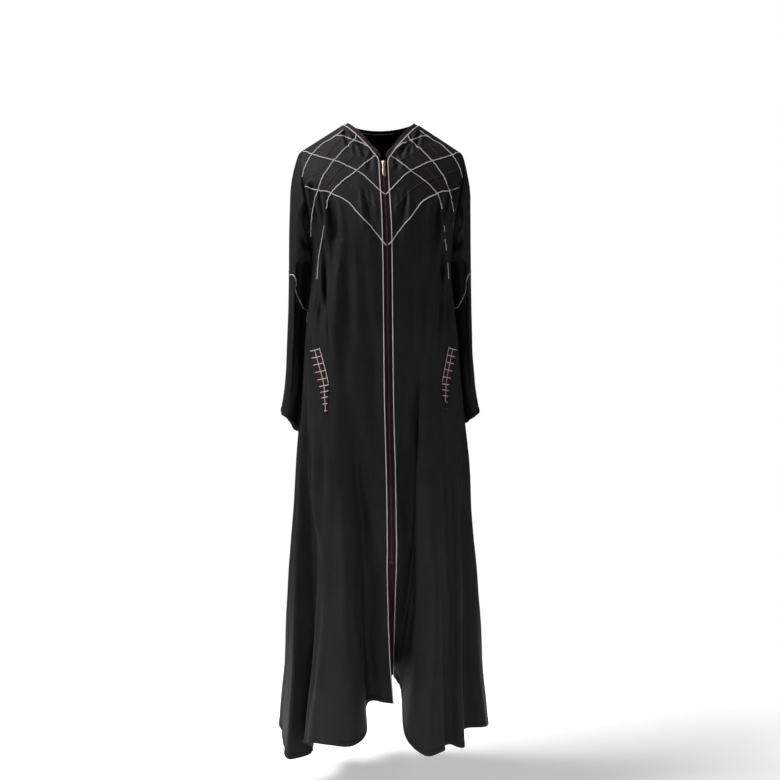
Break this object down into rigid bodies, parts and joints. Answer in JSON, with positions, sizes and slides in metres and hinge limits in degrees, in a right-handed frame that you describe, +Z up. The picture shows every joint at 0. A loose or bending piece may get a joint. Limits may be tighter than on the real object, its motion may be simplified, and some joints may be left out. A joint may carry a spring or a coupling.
{
  "type": "abaya",
  "caption": "Full-length loose robe with a long front zip, V neck, limp straight sleeves, corded yoke and slanted pocket welts; open at neck, cuffs and hem.",
  "frame": {"origin": "midway between the two points where the neckline meets the shoulder seams, where the garment is held", "axes": "+X to the garment's own left, -Y the way the front faces, +Z up along the length"},
  "size_m": [0.5181, 0.4762, 1.4902],
  "materials": {
    "black_cloth": "soft matt black crepe with a faint sheen",
    "maroon_cloth": "dark wine-coloured woven tape and cord",
    "white_cord": "off-white twisted cord",
    "zip_metal": "bright plated metal"
  },
  "bodies": {
    "garment": {"back": "black_cloth", "front_left": "black_cloth", "front_right": "black_cloth", "sleeve_left": "black_cloth", "sleeve_right": "black_cloth", "neckband": "maroon_cloth", "zip_tape_left": "maroon_cloth", "zip_tape_right": "maroon_cloth", "zip_chain": "maroon_cloth", "slider": "zip_metal", "maroon_cords_left": "maroon_cloth", "maroon_cords_right": "maroon_cloth", "white_cords_left": "white_cord", "white_cords_right": "white_cord", "neck_cord_back": "white_cord", "pocket_welt_left": "maroon_cloth", "pocket_welt_right": "maroon_cloth", "pocket_cords_left": "white_cord", "pocket_cords_right": "white_cord", "sleeve_cord_left": "white_cord", "sleeve_cord_right": "white_cord"},
    "pull_tab": {"pull_tab": "zip_metal"}
  },
  "joints": [
    {"name": "tab_hinge", "type": "hinge", "parent": "garment", "child": "pull_tab", "pos_m": [0, -0.08702, -0.08965], "axis": [-1, 0, 0], "range_deg": [0, 150]}
  ]
}
